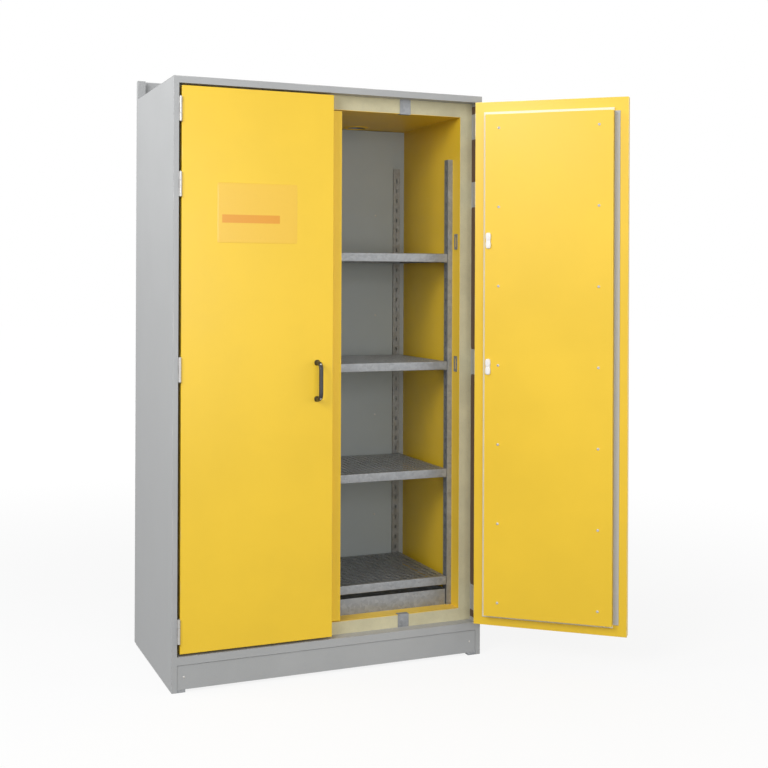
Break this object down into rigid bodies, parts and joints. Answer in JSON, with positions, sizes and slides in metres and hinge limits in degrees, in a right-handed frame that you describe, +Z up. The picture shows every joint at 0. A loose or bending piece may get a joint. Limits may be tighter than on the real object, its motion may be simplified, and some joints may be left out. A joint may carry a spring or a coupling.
{
  "type": "battery storage cabinet",
  "caption": "Tall fire-resistant cabinet with two hinged insulated doors, lined storage space, perforated shelves on slotted uprights, spill tray and plinth.",
  "frame": {"origin": "centre of the underside of the front left foot, on the floor", "axes": "+X along the front from left to right, +Y from the front into the cabinet, +Z up"},
  "size_m": [1.4648, 0.9642, 2.016],
  "materials": {
    "casing_paint": "smooth silver-grey powder coat",
    "zinc_steel": "galvanised sheet",
    "rivet_steel": "zinc-plated fasteners",
    "insulation_board": "bare fire board, matt",
    "yellow_paint": "smooth yellow powder coat",
    "grey_liner": "grey coated sheet",
    "white_plastic": "moulded",
    "seal_rubber": "cream seal",
    "seal_strip": "grey swelling strip",
    "black_plastic": "moulded black"
  },
  "bodies": {
    "cabinet": {"back_panel": "casing_paint", "base_pan": "zinc_steel", "board_straps": "zinc_steel", "bottom_rail": "casing_paint", "catch_keepers": "zinc_steel", "duct_panel": "grey_liner", "duct_rivets": "rivet_steel", "exhaust_spigot": "zinc_steel", "feet": "zinc_steel", "frame_hinge_leaves_left": "zinc_steel", "frame_hinge_leaves_right": "zinc_steel", "hinge_pins_left": "rivet_steel", "hinge_pins_right": "rivet_steel", "insulation_back": "insulation_board", "insulation_floor": "insulation_board", "insulation_left": "insulation_board", "insulation_right": "insulation_board", "insulation_top": "insulation_board", "liner_back": "grey_liner", "liner_ceiling": "yellow_paint", "liner_floor": "yellow_paint", "liner_left": "yellow_paint", "liner_right": "yellow_paint", "plinth_panel": "casing_paint", "plinth_rivets": "rivet_steel", "rear_spacer": "casing_paint", "shelf_1": "zinc_steel", "shelf_2": "zinc_steel", "shelf_3": "zinc_steel", "shelf_4": "zinc_steel", "shelf_clips": "zinc_steel", "side_panel_left": "casing_paint", "side_panel_right": "casing_paint", "spill_tray": "zinc_steel", "top_panel": "casing_paint", "upright_front_left": "zinc_steel", "upright_front_right": "zinc_steel", "upright_rear_left": "zinc_steel", "upright_rear_right": "zinc_steel", "vent_ring": "white_plastic"},
    "left_door": {"door_catches_left": "white_plastic", "door_core_left": "insulation_board", "door_gasket_left": "seal_rubber", "door_hinge_leaves_left": "zinc_steel", "door_inner_box_left": "yellow_paint", "door_screws_left": "rivet_steel", "door_skin_left": "yellow_paint", "handle_left": "black_plastic", "handle_caps_left": "black_plastic"},
    "right_door": {"door_catches_right": "white_plastic", "door_core_right": "insulation_board", "door_gasket_right": "seal_rubber", "door_hinge_leaves_right": "zinc_steel", "door_inner_box_right": "yellow_paint", "door_screws_right": "rivet_steel", "door_skin_right": "yellow_paint", "handle_right": "black_plastic", "handle_caps_right": "black_plastic", "door_seal_strip": "seal_strip"}
  },
  "joints": [
    {"name": "left_door_hinge", "type": "hinge", "parent": "cabinet", "child": "left_door", "pos_m": [-0.0015, -0.02725, 0], "axis": [0, 0, -1], "range_deg": [0, 139.4]},
    {"name": "right_door_hinge", "type": "hinge", "parent": "cabinet", "child": "right_door", "pos_m": [1.045, -0.02725, 0], "axis": [0, 0, 1], "range_deg": [-139.4, 0]}
  ]
}
